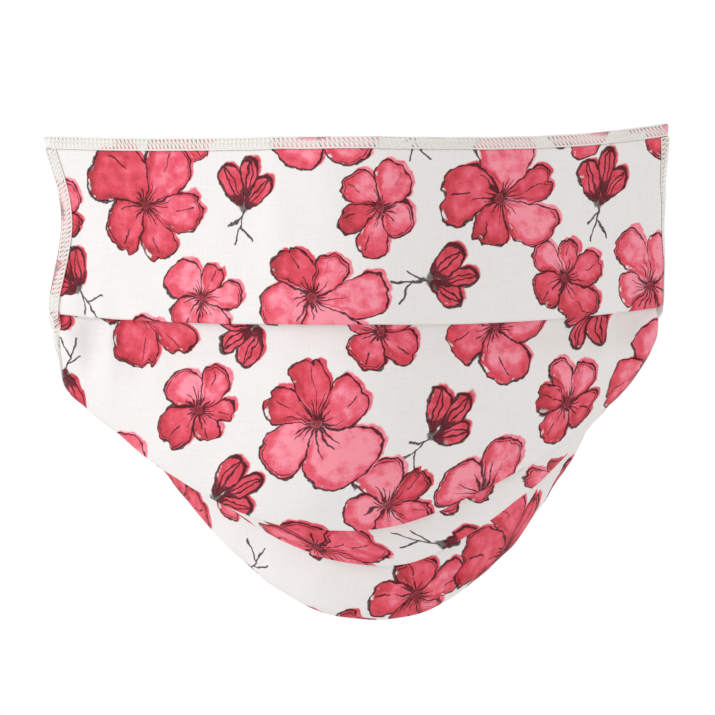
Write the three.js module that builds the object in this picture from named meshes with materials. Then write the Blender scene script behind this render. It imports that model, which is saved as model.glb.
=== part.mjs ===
// A pleated cloth face mask in its worn form: one sheet of printed cotton, hemmed on four
// sides, with three knife pleats sewn flat at the side hems and opened round nose and chin.
// Two flat elastic ear loops are sewn inside the side hems.
//
// Millimetres. +X is the viewer's right, the front faces -Y, +Z is up. The origin is the
// middle of the top hem's inner face, where the mask sits on the bridge of the nose.

import * as THREE from 'three';

// Driving dimensions
const CLOTH_WALL = 1.0;          // the cotton, two layers thick
const LAYER_GAP = 0.35;          // air between the layers of a pleat
const PART_GAP = 0.36;           // clearance between two sewn pieces
const HEM_WIDTH = 3.5;
const HEM_THICKNESS = 2.0;
const HEM_PROUD = 1.0;           // how far a hem stands in front of the cloth's middle
const SIDE_HEM_THICKNESS = 2.4;  // a side hem over the single cloth of the top band
const PLEAT_HEM_THICKNESS = 5.4; // and over the stacked pleats
const ELASTIC_WIDTH = 5.0;
const ELASTIC_THICKNESS = 1.0;
const RIDGE_ROUNDING = 0.2;      // softness of the bend over the nose, as a share of a half
const COLUMNS = 32;              // strips across the sheet

// The face form, as rows across the mask from the top edge to the bottom edge. x, y and z
// are the row's middle point. left and right are how far its ends lie from x = 0, endY and
// endZ where they lie, and lift how much higher the right end is. yBend, zLeft and zRight say
// how the row leaves its middle: 1 is straight, more is a slow start and a quick finish.
const ROWS = [
  { row: 'top edge', x: 0, y: -1, z: 1.8, left: 83.5, right: 83.5, endY: 48, endZ: 3.8, lift: 3.7, yBend: 1, zLeft: 2.3, zRight: 2.3 },
  { row: 'waist', x: 0, y: -9, z: -19, left: 79, right: 81.5, endY: 42, endZ: -18, lift: 1, yBend: 1, zLeft: 2, zRight: 2 },
  { row: 'first fold', x: 0, y: -17.5, z: -46.4, left: 81.8, right: 80.8, endY: 36, endZ: -43.2, lift: 2.4, yBend: 1.05, zLeft: 2, zRight: 2 },
  { row: 'belly', x: 0, y: -19, z: -74, left: 79, right: 77, endY: 33, endZ: -52.5, lift: 0.5, yBend: 1.1, zLeft: 2.2, zRight: 1.9 },
  { row: 'second fold', x: -4, y: -10, z: -99.8, left: 76.5, right: 72, endY: 34, endZ: -61, lift: 0, yBend: 1.3, zLeft: 1.5, zRight: 1.3 },
  { row: 'third fold', x: 5, y: -4, z: -109, left: 69, right: 63.5, endY: 40, endZ: -69.5, lift: 0, yBend: 1.5, zLeft: 1.22, zRight: 1.3 },
  { row: 'chin', x: 3.6, y: 5, z: -123.6, left: 59, right: 59.5, endY: 48, endZ: -76, lift: 0, yBend: 1.6, zLeft: 1.3, zRight: 1.68 },
  { row: 'bottom edge', x: 3.6, y: 16, z: -121.5, left: 52, right: 54, endY: 57, endZ: -81, lift: 0, yBend: 1.6, zLeft: 1.4, zRight: 1.7 },
];

// The pleats. deep is how far the cloth runs back up behind its fold.
const PLEATS = [
  { row: 'first fold', deepMiddle: 6.0, deepSide: 12.0 },
  { row: 'second fold', deepMiddle: 3.5, deepSide: 10.0 },
  { row: 'third fold', deepMiddle: 3.5, deepSide: 8.0 },
];

const MATERIALS = {
  print: new THREE.MeshStandardMaterial({ color: 0xf1e7e5, roughness: 0.9, metalness: 0 }),
  hem: new THREE.MeshStandardMaterial({ color: 0xf0ece8, roughness: 0.9, metalness: 0 }),
  elastic: new THREE.MeshStandardMaterial({ color: 0xf4f3f0, roughness: 0.8, metalness: 0 }),
};

// The face form

const rowNumber = (name) => ROWS.findIndex((entry) => entry.row === name);

// A row's point at u, from -1 at the left end through 0 in the middle to 1 at the right end.
function rowPoint(entry, u) {
  const w = Math.abs(u);
  const soft = (Math.hypot(w, RIDGE_ROUNDING) - RIDGE_ROUNDING) / (Math.hypot(1, RIDGE_ROUNDING) - RIDGE_ROUNDING);
  const endX = u < 0 ? -entry.left : entry.right;
  const endZ = entry.endZ + (u < 0 ? 0 : entry.lift);
  return new THREE.Vector3(
    entry.x + (endX - entry.x) * w,
    entry.y + (entry.endY - entry.y) * soft ** entry.yBend,
    entry.z + (endZ - entry.z) * soft ** (u < 0 ? entry.zLeft : entry.zRight),
  );
}

// A smooth curve down the form at u, and the places of the rows on it.
const columns = new Map();

function columnAt(u) {
  if (!columns.has(u)) columns.set(u, makeColumn(u));
  return columns.get(u);
}

function makeColumn(u) {
  const points = ROWS.map((entry) => rowPoint(entry, u));
  const curve = new THREE.CatmullRomCurve3(points, false, 'centripetal');
  curve.arcLengthDivisions = 600;
  const lengths = curve.getLengths();
  const last = ROWS.length - 1;
  const rowLength = ROWS.map((_, i) => lengths[Math.round((i / last) * curve.arcLengthDivisions)]);
  const length = curve.getLength();
  return { rowLength, length, at: (s) => curve.getPointAt(THREE.MathUtils.clamp(s / length, 0, 1)) };
}

// The point s mm down the column at u, and depth mm behind the form's surface there.
function formPoint(u, s, depth) {
  const step = 0.004;
  const reach = 0.25;
  const own = columnAt(u);
  const share = s / own.length;
  const left = columnAt(u - step);
  const right = columnAt(u + step);
  const across = right.at(share * right.length).sub(left.at(share * left.length));
  const down = own.at(Math.min(s + reach, own.length)).sub(own.at(Math.max(s - reach, 0)));
  const inward = across.cross(down).normalize();
  return own.at(s).addScaledVector(inward, depth);
}

// Building solids from sections

// A closed solid lofted through sections. Each section is a front and a back line of points,
// with the same count in all of them, and the solid lies between the two lines.
function loft(sections) {
  const count = sections[0].front.length;
  const positions = [];
  const index = [];
  for (const { front, back } of sections) {
    for (const point of [...front, ...back]) positions.push(point.x, point.y, point.z);
  }
  const at = (section, k) => section * 2 * count + k;
  const quad = (a, b, c, d) => index.push(a, b, c, a, c, d);
  for (let j = 0; j < sections.length - 1; j++) {
    for (let k = 0; k < count - 1; k++) {
      quad(at(j, k), at(j, k + 1), at(j + 1, k + 1), at(j + 1, k));
      quad(at(j, count + k), at(j + 1, count + k), at(j + 1, count + k + 1), at(j, count + k + 1));
    }
    quad(at(j, 0), at(j + 1, 0), at(j + 1, count), at(j, count));
    quad(at(j, count - 1), at(j, 2 * count - 1), at(j + 1, 2 * count - 1), at(j + 1, count - 1));
  }
  const end = sections.length - 1;
  for (let k = 0; k < count - 1; k++) {
    quad(at(0, k), at(0, count + k), at(0, count + k + 1), at(0, k + 1));
    quad(at(end, k), at(end, k + 1), at(end, count + k + 1), at(end, count + k));
  }
  const geometry = new THREE.BufferGeometry();
  geometry.setAttribute('position', new THREE.Float32BufferAttribute(positions, 3));
  geometry.setIndex(index);
  geometry.computeVertexNormals();
  return geometry;
}

// A rounded bar's section, as a front and a back line of [along, depth] pairs.
function barSection(from, to, nearDepth, farDepth) {
  const round = Math.min(0.3 * (farDepth - nearDepth), 0.25 * (to - from));
  const near = [[from, nearDepth + round], [from + round, nearDepth], [to - round, nearDepth], [to, nearDepth + round]];
  const far = [[from, farDepth - round], [from + round, farDepth], [to - round, farDepth], [to, farDepth - round]];
  return { near, far };
}

const spread = (from, to, steps) => Array.from({ length: steps + 1 }, (_, i) => from + ((to - from) * i) / steps);

// The cloth

// The sheet's middle line down one column, as [s, depth] pairs: a panel, then for each pleat
// the fold, the cloth's run back up behind it, the inner fold, and the next panel.
function sheetLine(u) {
  const { rowLength, length } = columnAt(u);
  const pitch = CLOTH_WALL + LAYER_GAP;
  const open = u * u;
  const line = [];
  const bend = (s, depth, side) => {
    for (const turn of [Math.PI / 3, (2 * Math.PI) / 3]) {
      line.push([s + side * (pitch / 2) * Math.sin(turn), depth + (pitch / 2) * (1 - Math.cos(turn))]);
    }
  };
  const easing = (x) => x * x * (3 - 2 * x);
  let start = HEM_WIDTH + PART_GAP;
  let lean = () => 0;
  for (const s of spread(start, rowLength[rowNumber(PLEATS[0].row)], 8)) line.push([s, 0]);
  PLEATS.forEach((pleat, i) => {
    const fold = rowLength[rowNumber(pleat.row)];
    const inner = fold - (pleat.deepMiddle + (pleat.deepSide - pleat.deepMiddle) * open);
    const panelEnd = i + 1 < PLEATS.length ? rowLength[rowNumber(PLEATS[i + 1].row)] : length - HEM_WIDTH - PART_GAP;
    const above = lean;
    bend(fold, 0, 1);
    for (const s of spread(fold, inner, 2)) line.push([s, above(s) + pitch]);
    bend(inner, above(inner) + pitch, -1);
    const released = (s) => 2 * pitch * (1 - easing(THREE.MathUtils.clamp((s - fold) / (0.9 * (panelEnd - fold)), 0, 1)));
    lean = released;
    for (const s of spread(inner, fold, 2)) line.push([s, above(s) + 2 * pitch]);
    const steps = [7, 4, 5][i];
    for (const s of spread(fold, panelEnd, steps).slice(1)) line.push([s, released(s)]);
    start = fold;
  });
  return line;
}

// The line's two sides, half a wall away from it.
function offsetLine(line, distance) {
  return line.map(([s, depth], k) => {
    const [s0, d0] = line[Math.max(k - 1, 0)];
    const [s1, d1] = line[Math.min(k + 1, line.length - 1)];
    const size = Math.hypot(s1 - s0, d1 - d0);
    return [s + (distance * (d1 - d0)) / size, depth - (distance * (s1 - s0)) / size];
  });
}

const hemShare = HEM_WIDTH / 95; // a side hem's width as a share of half the mask
const gapShare = 0.0065;
const clothEnd = 1 - hemShare - gapShare;

function clothSections() {
  return spread(-clothEnd, clothEnd, COLUMNS).map((u) => {
    const line = sheetLine(u);
    const place = ([s, depth]) => formPoint(u, s, depth);
    return {
      front: offsetLine(line, CLOTH_WALL / 2).map(place),
      back: offsetLine(line, -CLOTH_WALL / 2).map(place),
    };
  });
}

function edgeHemSections(fromEdge) {
  return spread(-1, 1, COLUMNS).map((u) => {
    const start = fromEdge === 'top' ? 0 : columnAt(u).length - HEM_WIDTH;
    const { near, far } = barSection(start, start + HEM_WIDTH, -HEM_PROUD, HEM_THICKNESS - HEM_PROUD);
    const place = ([s, depth]) => formPoint(u, s, depth);
    return { front: near.map(place), back: far.map(place) };
  });
}

// A side hem thickens where it wraps the stacked pleats.
function sideHemThickness(u, s) {
  const { rowLength } = columnAt(u);
  const fold = rowLength[rowNumber('first fold')];
  const grown = THREE.MathUtils.smoothstep(s, fold - 16, fold - 8);
  return SIDE_HEM_THICKNESS + (PLEAT_HEM_THICKNESS - SIDE_HEM_THICKNESS) * grown;
}

function sideHemSections(side) {
  const steps = 36;
  return spread(0, 1, steps).map((share) => {
    const place = ([w, depth]) => {
      const u = side * w;
      const end = columnAt(u).length - HEM_WIDTH - PART_GAP;
      return formPoint(u, HEM_WIDTH + PART_GAP + share * (end - HEM_WIDTH - PART_GAP), depth);
    };
    const s = HEM_WIDTH + share * (columnAt(side).length - 2 * HEM_WIDTH);
    const thickness = sideHemThickness(side, s);
    const { near, far } = barSection(1 - hemShare, 1, -HEM_PROUD, thickness - HEM_PROUD);
    const front = near.map(place);
    const back = far.map(place);
    return side > 0 ? { front: back, back: front } : { front, back };
  });
}

// The ear loops

// An elastic band leaves the side hem's inner face near the top corner, runs back round the
// ear and comes forward to the bottom corner. It turns half over on the way, so that it lies
// flat on the hem and flat round the ear.
const LOOP = {
  topSewn: 9.0,      // how far down the hem its top end is sewn
  bottomSewn: 8.0,   // and how far up from the hem's bottom end
  earX: 66, earTopY: 92, earTopZ: -22,
  earBackY: 113, earBackZ: -41,
  earLowY: 94, earLowZ: -59,
};

function loopSections(side) {
  const sewnAt = (s, w) => {
    const depth = sideHemThickness(side, s) - HEM_PROUD + 1.8 * PART_GAP + ELASTIC_THICKNESS / 2;
    return formPoint(side * w, s, depth);
  };
  const length = columnAt(side).length;
  const back = (point, dx, dy, dz) => point.clone().add(new THREE.Vector3(side * dx, dy, dz));
  const top = sewnAt(LOOP.topSewn, 0.98);
  const bottom = sewnAt(length - LOOP.bottomSewn, 0.98);
  const downHem = (s) => sewnAt(s + 2, 0.98).sub(sewnAt(s - 2, 0.98)).normalize();
  const topWide = downHem(LOOP.topSewn).negate();
  const bottomWide = downHem(length - LOOP.bottomSewn);
  const ear = (y, z) => new THREE.Vector3(side * LOOP.earX, y, z);
  const path = new THREE.CatmullRomCurve3([
    sewnAt(LOOP.topSewn, 0.9),
    top,
    back(top, 0.6, 5, 0),
    back(top, -3.5, 22, -3),
    ear(LOOP.earTopY, LOOP.earTopZ),
    ear(LOOP.earBackY, LOOP.earBackZ),
    ear(LOOP.earLowY, LOOP.earLowZ),
    back(bottom, 5, 22, 9.5),
    back(bottom, 1.2, 4.4, 3.8),
    bottom,
    sewnAt(length - LOOP.bottomSewn, 0.9),
  ], false, 'centripetal');
  const steps = 56;
  return spread(0, 1, steps).map((share) => {
    const point = path.getPointAt(share);
    const along = path.getTangentAt(share);
    const round = THREE.MathUtils.smoothstep(Math.sin(Math.PI * share), 0.35, 0.95);
    const flat = share < 0.5 ? topWide : bottomWide;
    const wide = flat.clone().lerp(new THREE.Vector3(side, 0, 0), round);
    wide.addScaledVector(along, -wide.dot(along)).normalize();
    const thick = along.clone().cross(wide).normalize();
    const corner = (a, b) => point.clone()
      .addScaledVector(wide, (a * ELASTIC_WIDTH) / 2)
      .addScaledVector(thick, (b * ELASTIC_THICKNESS) / 2);
    return { front: [corner(-1, -1), corner(1, -1)], back: [corner(-1, 1), corner(1, 1)] };
  });
}

// The assembly

const mask = new THREE.Group();

function addPiece(name, sections, material) {
  const piece = new THREE.Mesh(loft(sections), material);
  piece.name = name;
  mask.add(piece);
}

addPiece('pleated_cloth', clothSections(), MATERIALS.print);
addPiece('top_hem', edgeHemSections('top'), MATERIALS.hem);
addPiece('bottom_hem', edgeHemSections('bottom'), MATERIALS.hem);
addPiece('side_hem_left', sideHemSections(-1), MATERIALS.hem);
addPiece('side_hem_right', sideHemSections(1), MATERIALS.hem);
addPiece('ear_loop_left', loopSections(-1), MATERIALS.elastic);
addPiece('ear_loop_right', loopSections(1), MATERIALS.elastic);

export default mask;
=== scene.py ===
# %% [markdown]
# # A pleated cloth face mask
# One sheet of cotton, printed with blossoms and folded into three flat pleats, keeps the
# form of the face that it was worn on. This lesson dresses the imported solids: first the
# view and the light, then the face form as a set of rows, the pleated sheet on that form,
# its overlocked hems, the ear loops, and the materials.
# Lengths are worked out in millimetres and turned into metres where a mesh is made.

import math

import bpy
import numpy as np
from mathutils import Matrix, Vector


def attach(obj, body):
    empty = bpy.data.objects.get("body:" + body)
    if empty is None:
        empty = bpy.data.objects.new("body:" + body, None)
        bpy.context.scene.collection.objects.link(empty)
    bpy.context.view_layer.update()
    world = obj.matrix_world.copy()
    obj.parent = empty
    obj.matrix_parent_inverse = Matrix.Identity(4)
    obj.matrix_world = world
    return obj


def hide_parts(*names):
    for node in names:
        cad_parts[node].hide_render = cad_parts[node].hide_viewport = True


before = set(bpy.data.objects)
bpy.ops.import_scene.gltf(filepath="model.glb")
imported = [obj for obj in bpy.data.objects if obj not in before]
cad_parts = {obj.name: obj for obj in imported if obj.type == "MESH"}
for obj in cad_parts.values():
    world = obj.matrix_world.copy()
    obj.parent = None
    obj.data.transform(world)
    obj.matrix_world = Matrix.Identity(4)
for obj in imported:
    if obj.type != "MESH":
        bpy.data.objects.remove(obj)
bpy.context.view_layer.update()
MM = 0.001
TURN = 2 * math.pi
print("nodes", sorted(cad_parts))


def put(name, data):
    """A new object in the scene."""
    made = bpy.data.objects.new(name, data)
    bpy.context.scene.collection.objects.link(made)
    return made


# %% [markdown]
# ## View and light
# The mask is seen level and straight from the front. A long lens far away keeps the top
# edge straight although its ends lie further back than its middle. The place behind the
# mask is plain white. Most light is soft and comes from everywhere, and one large lamp at
# the upper left makes the left cheek bright and lets the right cheek fall into a warm grey,
# which a weak lamp from the right lifts a little.

# %% Camera
CAMERA_DISTANCE = 1.4
PICTURE_WIDTH = 0.1859           # what the picture spans at the bridge of the nose
PICTURE_MIDDLE = (0.0001, -0.0555)
SENSOR = 36.0

camera_data = bpy.data.cameras.new("camera")
camera_data.sensor_width = SENSOR
camera_data.lens = SENSOR * CAMERA_DISTANCE / PICTURE_WIDTH
camera_data.clip_end = 20
camera = put("camera", camera_data)
camera.location = (PICTURE_MIDDLE[0], -CAMERA_DISTANCE, PICTURE_MIDDLE[1])
camera.rotation_euler = (math.pi / 2, 0, 0)
bpy.context.scene.camera = camera
bpy.context.scene.view_settings.view_transform = "Standard"
print("lens", round(camera_data.lens, 1), "mm")


# %% Lamps
def add_lamp(name, place, aim, size, power, colour):
    """A square soft lamp at a place, turned to a point."""
    data = bpy.data.lights.new(name, "AREA")
    data.size = size
    data.energy = power
    data.color = colour
    lamp = put(name, data)
    lamp.location = place
    lamp.rotation_euler = (Vector(aim) - Vector(place)).to_track_quat("-Z", "Y").to_euler()


MASK_MIDDLE = (0, 0, -0.05)
add_lamp("key lamp", (-1.27, -0.39, 0.42), MASK_MIDDLE, 0.55, 5.1, (0.95, 0.975, 1.0))
add_lamp("fill lamp", (1.3, -0.2, 0.1), MASK_MIDDLE, 0.8, 0.45, (1.0, 1.0, 1.0))

SKY_LIGHT = 0.847
SKY_COLOUR = (1.0, 0.985, 0.975)
world = bpy.data.worlds.new("studio")
world.use_nodes = True
bpy.context.scene.world = world
sky = world.node_tree
sky.nodes["Background"].inputs["Color"].default_value = (*SKY_COLOUR, 1)
sky.nodes["Background"].inputs["Strength"].default_value = SKY_LIGHT
white = sky.nodes.new("ShaderNodeBackground")
white.inputs["Color"].default_value = (1, 1, 1, 1)
white.inputs["Strength"].default_value = 1.0
seen = sky.nodes.new("ShaderNodeLightPath")
choice = sky.nodes.new("ShaderNodeMixShader")
sky.links.new(seen.outputs["Is Camera Ray"], choice.inputs["Fac"])
sky.links.new(sky.nodes["Background"].outputs[0], choice.inputs[1])
sky.links.new(white.outputs[0], choice.inputs[2])
sky.links.new(choice.outputs[0], sky.nodes["World Output"].inputs["Surface"])


# %% [markdown]
# ## Writing materials as sums
# A material here is mostly arithmetic: how far a point of the cloth lies from a petal's
# rim, or between two threads. The small class below lets Python's own operators add the
# Math nodes, so a line of the recipe reads like the sum that it is.

# %% Shader arithmetic
class Wire:
    """A value in a tree of nodes. Python's operators on it add Math nodes."""

    def __init__(self, tree, socket):
        self.tree = tree
        self.socket = socket

    def node(self, kind, settings, inputs, output=0):
        """Adds any node: its settings first, then the values or wires of its sockets."""
        made = self.tree.nodes.new(kind)
        stops = settings.get("stops")
        for name, value in settings.items():
            if name != "stops":
                setattr(made, name, value)
        for spare, (place, colour) in enumerate(stops or ()):
            if spare >= len(made.color_ramp.elements):
                made.color_ramp.elements.new(place)
            made.color_ramp.elements[spare].position = place
            made.color_ramp.elements[spare].color = (*colour, 1)
        for name, value in inputs.items():
            if isinstance(value, Wire):
                self.tree.links.new(value.socket, made.inputs[name])
            else:
                made.inputs[name].default_value = value
        return Wire(self.tree, made.outputs[output])

    def math(self, operation, *others):
        values = dict(enumerate((self, *others)))
        return self.node("ShaderNodeMath", {"operation": operation}, values)

    def __add__(self, other):
        return self.math("ADD", other)

    def __sub__(self, other):
        return self.math("SUBTRACT", other)

    def __rsub__(self, other):
        return self.node("ShaderNodeMath", {"operation": "SUBTRACT"}, {0: other, 1: self})

    def __mul__(self, other):
        return self.math("MULTIPLY", other)

    def __truediv__(self, other):
        return self.math("DIVIDE", other)

    def __abs__(self):
        return self.math("ABSOLUTE")

    __radd__ = __add__
    __rmul__ = __mul__

    def fade(self, start, end):
        """0 before start, 1 after end, smooth between; start may lie beyond end."""
        ends = {"Value": self, "From Min": start, "From Max": end}
        settings = {"interpolation_type": "SMOOTHSTEP"}
        return self.node("ShaderNodeMapRange", settings, ends, "Result")

    def mix(self, below, above):
        """The colour below, covered by the colour above as far as this wire says."""
        settings = {"data_type": "RGBA", "clamp_factor": True}
        return self.node("ShaderNodeMix", settings, {0: self, 6: below, 7: above}, 2)


def point(wire, x, y, z):
    """A vector of three numbers or wires, in the tree of a wire."""
    return wire.node("ShaderNodeCombineXYZ", {}, {0: x, 1: y, 2: z})


def parts_of(wire, kind="ShaderNodeSeparateXYZ", name="Vector"):
    """The three numbers in a vector's or a colour's wire."""
    return [wire.node(kind, {}, {name: wire}, k) for k in range(3)]


def random_numbers(cell, which):
    """Three numbers from 0 to 1 that belong to a cell of the print and a number in it."""
    settings = {"noise_dimensions": "4D"}
    colour = cell.node("ShaderNodeTexWhiteNoise", settings, {"Vector": cell, "W": which}, 1)
    return parts_of(colour, "ShaderNodeSeparateColor", "Color")


def cloud(place, scale, detail=2.0, output=0):
    """Soft noise in space, around 0.5."""
    inputs = {"Vector": place, "Scale": scale, "Detail": detail}
    return place.node("ShaderNodeTexNoise", {}, inputs, output)


def rgb(red, green, blue):
    """A linear colour from the 0 to 255 numbers of a picture."""
    parts = [c / 255 for c in (red, green, blue)]
    return tuple(c / 12.92 if c < 0.04045 else ((c + 0.055) / 1.055) ** 2.4 for c in parts)


def ramp(tone, stops):
    """The colour that stops from 0 to 1 give a tone."""
    return tone.node("ShaderNodeValToRGB", {"stops": stops}, {"Fac": tone})


def new_material(name, fuzz=0.0):
    """A material with its Principled shader, and a wire to start its sums from."""
    material = bpy.data.materials.new(name)
    material.use_nodes = True
    tree = material.node_tree
    shader = tree.nodes["Principled BSDF"]
    shader.inputs["Sheen Weight"].default_value = fuzz
    shader.inputs["Sheen Roughness"].default_value = 0.5
    shader.inputs["Specular IOR Level"].default_value = 0.25
    return material, shader, Wire(tree, None)


def connect(wire, shader, name):
    wire.tree.links.new(wire.socket, shader.inputs[name])


def press(height, shader, strength, distance):
    """Presses a height into a material's surface, as a bump of so many metres."""
    inputs = {"Strength": strength, "Distance": distance, "Height": height}
    connect(height.node("ShaderNodeBump", {}, inputs, "Normal"), shader, "Normal")


def on_piece(start):
    """The piece's own places, which each mesh carries as its cloth attribute."""
    return start.node("ShaderNodeAttribute", {"attribute_name": "cloth"}, {}, "Vector")


# %% [markdown]
# ## The face form
# A worn mask takes the form of the face under it: a blunt keel over the nose, flat
# cheeks, and a chin that the lowest panel wraps. The form is written as eight rows across
# the mask. A row bends softly at its middle and runs back to the side hems, and a smooth
# curve down through the rows gives a column of cloth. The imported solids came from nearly
# the same rows; these are trimmed by a few millimetres, to keep to the mask's outline.

# %% Rows of the form
# name, middle of the row, reach to the left and right, place of the ends, how much higher
# the right end is, how the row bends, and how far its two ends roll backwards, 0 to 1
ROW_KEYS = (
    "name x y z left right end_y end_z lift y_bend z_left z_right roll_left roll_right"
).split()
ROWS = [dict(zip(ROW_KEYS, row)) for row in (
    ("top edge", 0, -1, 1.8, 84.3, 83.9, 48, 3.8, 3.7, 1, 2.3, 2.3, 0, 0.2),
    ("waist", 0, -9, -19, 79, 81.5, 42, -18, 1, 1, 2, 2, 0, 1.2),
    ("first fold", 0, -17.5, -46.4, 81.6, 80.8, 36, -43.2, 2.4, 1.05, 2, 2, 0.15, 1.35),
    ("belly", 0, -19, -74, 78.9, 77.5, 33, -52.5, 0.5, 1.1, 2.2, 1.9, 1.1, 1.2),
    ("second fold", -4, -10, -99.8, 77.1, 71.3, 34, -61, 0, 1.3, 1.46, 1.3, 1, 1),
    ("third fold", 5, -4, -109, 65.4, 63, 40, -69.5, 0, 1.5, 1.22, 1.3, 0.6, 0.6),
    ("chin", 2.4, 5, -122.8, 58, 59.3, 48, -76, 0, 1.6, 1.45, 1.8, 0.3, 0.3),
    ("bottom edge", 2.6, 16, -121.4, 52, 54, 57, -81, 0, 1.6, 1.4, 1.7, 0, 0),
)]
ROW_NAMES = [row["name"] for row in ROWS]
RIDGE_ROUNDING = 0.24            # how blunt the bend over the nose is
# row of the fold, how deep the pleat is in the middle and at the sides
PLEATS = (("first fold", 6.0, 12.0), ("second fold", 3.5, 10.0), ("third fold", 3.5, 8.0))
HEM_WIDTH = 3.5
HALF_WIDTH = 95.0                # of the flat cloth
ROLL_START = 1 - 7.0 / HALF_WIDTH  # only the outermost 7 mm roll
ROLL_IN = 3.6                    # how far a rolled end lies inside a straight one
ROLL_BACK = 1.5                  # and how far behind it
ROLL_SPARE = 3.1                 # what a rolled row is wider, so that it still reaches out


def row_points(u):
    """The rows' points in the columns u, from -1 at the left hem to 1 at the right one."""
    w = np.abs(u)
    bent = np.hypot(w, RIDGE_ROUNDING) - RIDGE_ROUNDING
    soft = bent / (math.hypot(1, RIDGE_ROUNDING) - RIDGE_ROUNDING)
    late = np.clip((w - ROLL_START) / (1 - ROLL_START), 0, 1) ** 2
    outward = np.sign(u)
    found = []
    for row in ROWS:
        roll = np.where(u < 0, row["roll_left"], row["roll_right"])
        end_x = np.where(u < 0, -row["left"], row["right"]) + outward * ROLL_SPARE * roll
        end_z = row["end_z"] + np.where(u < 0, 0, row["lift"])
        z_bend = np.where(u < 0, row["z_left"], row["z_right"])
        along_x = row["x"] + (end_x - row["x"]) * w - outward * ROLL_IN * roll * late
        along_y = row["y"] + (row["end_y"] - row["y"]) * soft ** row["y_bend"]
        along_z = row["z"] + (end_z - row["z"]) * soft ** z_bend
        found.append(np.stack([along_x, along_y + ROLL_BACK * roll * late, along_z], -1))
    return np.stack(found, -2)


def smooth_curve(points, steps):
    """A centripetal Catmull-Rom curve through points, with so many steps between two."""
    first = 2 * points[..., :1, :] - points[..., 1:2, :]
    last = 2 * points[..., -1:, :] - points[..., -2:-1, :]
    p = np.concatenate([first, points, last], -2)
    gap = np.linalg.norm(np.diff(p, axis=-2), axis=-1)[..., None] ** 0.5
    a, b, c, d = (p[..., k:k + points.shape[-2] - 1, :] for k in range(4))
    before, here, after = (gap[..., k:k + points.shape[-2] - 1, :] for k in range(3))
    enter = ((b - a) / before - (c - a) / (before + here) + (c - b) / here) * here
    leave = ((c - b) / here - (d - b) / (here + after) + (d - c) / after) * here
    t = np.linspace(0, 1, steps, endpoint=False)[:, None]
    b, c, enter, leave = (x[..., None, :] for x in (b, c, enter, leave))
    bits = b + enter * t + (3 * (c - b) - 2 * enter - leave) * t**2
    bits = bits + (2 * (b - c) + enter + leave) * t**3
    flat = bits.reshape(*points.shape[:-2], -1, 3)
    return np.concatenate([flat, points[..., -1:, :]], -2)


def resample(curve, shares):
    """Points of a finely stepped curve at shares of its length, from 0 to 1."""
    run = np.linalg.norm(np.diff(curve, axis=0), axis=1)
    place = np.concatenate([[0], np.cumsum(run)])
    return np.stack([np.interp(shares * place[-1], place, curve[:, k]) for k in range(3)], -1)


# %% [markdown]
# Real cloth is never as clean as a formula. The soft hollows and ridges below are laid on
# the form itself, so the sheet and its hems follow them together: a few named pulls where
# the pleats are caught in the side hems, and a faint ripple everywhere, stronger at the
# bottom edge, where the cloth has more width than the chin needs.

# %% Pulls and ripples
# name, place across in mm, place down in mm, half length, half breadth, turn, height
PULLS = (
    ("hollow under the left pleat", -88, 55, 12, 3.0, 82, -1.5),
    ("ridge beside it", -80, 58, 14, 3.4, 74, 0.9),
    ("second hollow", -71, 60, 16, 4.0, 62, -0.7),
    ("hollow under the right pleat", 88, 54, 11, 2.6, 98, -1.1),
    ("ridge on the right", 80, 57, 13, 3.2, 108, 0.7),
    ("left hem turned in", -92, 28, 14, 4.0, 90, -0.5),
    ("full left jaw", -66, 90, 34, 17, 52, 0.6),
    ("crease on the left jaw", -62, 82, 18, 3.5, 40, -0.6),
    ("ridge on the left jaw", -52, 80, 20, 4.5, 36, 0.5),
    ("hollow at the left jaw", -72, 84, 9, 6, 50, -1.0),
    ("full right jaw", 66, 88, 34, 17, 128, 1.6),
    ("crease on the right jaw", 62, 80, 18, 3.5, 140, -0.5),
    ("ridge beside the nose", -22, 30, 25, 6.5, 90, 0.95),
    ("hollow beside the nose", -33, 30, 25, 8.0, 90, -0.3),
    ("ridge of the chin", 5, 134, 16, 9, 90, 0.8),
    ("crease at the chin", -14, 122, 12, 2.2, 8, -0.5),
    ("crease on the chin's right", 24, 128, 14, 2.4, -24, -0.5),
)
RIPPLES = 22
RIPPLE_HEIGHT = 0.035
SLACK_START = 0.8                # the share of the way down where the cloth gets slack
SLACK_HEIGHT = 0.14
SLACK_WAVE = 15                  # from one slack wave to the next, in mm
SLACK_SWAY = 47                  # and over how much cloth their places sway
chance = np.random.RandomState(31)
ripple_length = chance.uniform(11, 34, RIPPLES)
ripple_turn = chance.uniform(0, math.pi, RIPPLES)
ripple_start = chance.uniform(0, TURN, RIPPLES)


def relief(x, s, length):
    """How far the cloth stands proud of the form, in mm, at x across and s down."""
    proud = np.zeros(np.broadcast(x, s).shape)
    for name, x0, s0, run, breadth, turn, height in PULLS:
        c, d = math.cos(math.radians(turn)), math.sin(math.radians(turn))
        along = ((x - x0) * c + (s - s0) * d) / run
        over = ((s - s0) * c - (x - x0) * d) / breadth
        proud = proud + height * np.exp(-along**2 - over**2)
    for wave, turn, start in zip(ripple_length, ripple_turn, ripple_start):
        phase = (x * math.cos(turn) + s * math.sin(turn)) * TURN / wave + start
        proud = proud + RIPPLE_HEIGHT * np.sin(phase)
    slack = np.clip((s - SLACK_START * length) / ((1 - SLACK_START) * length), 0, 1)
    sway = 1.4 * np.sin(x * TURN / SLACK_SWAY)
    return proud + SLACK_HEIGHT * slack**2 * np.sin(x * TURN / SLACK_WAVE + sway)


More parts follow.
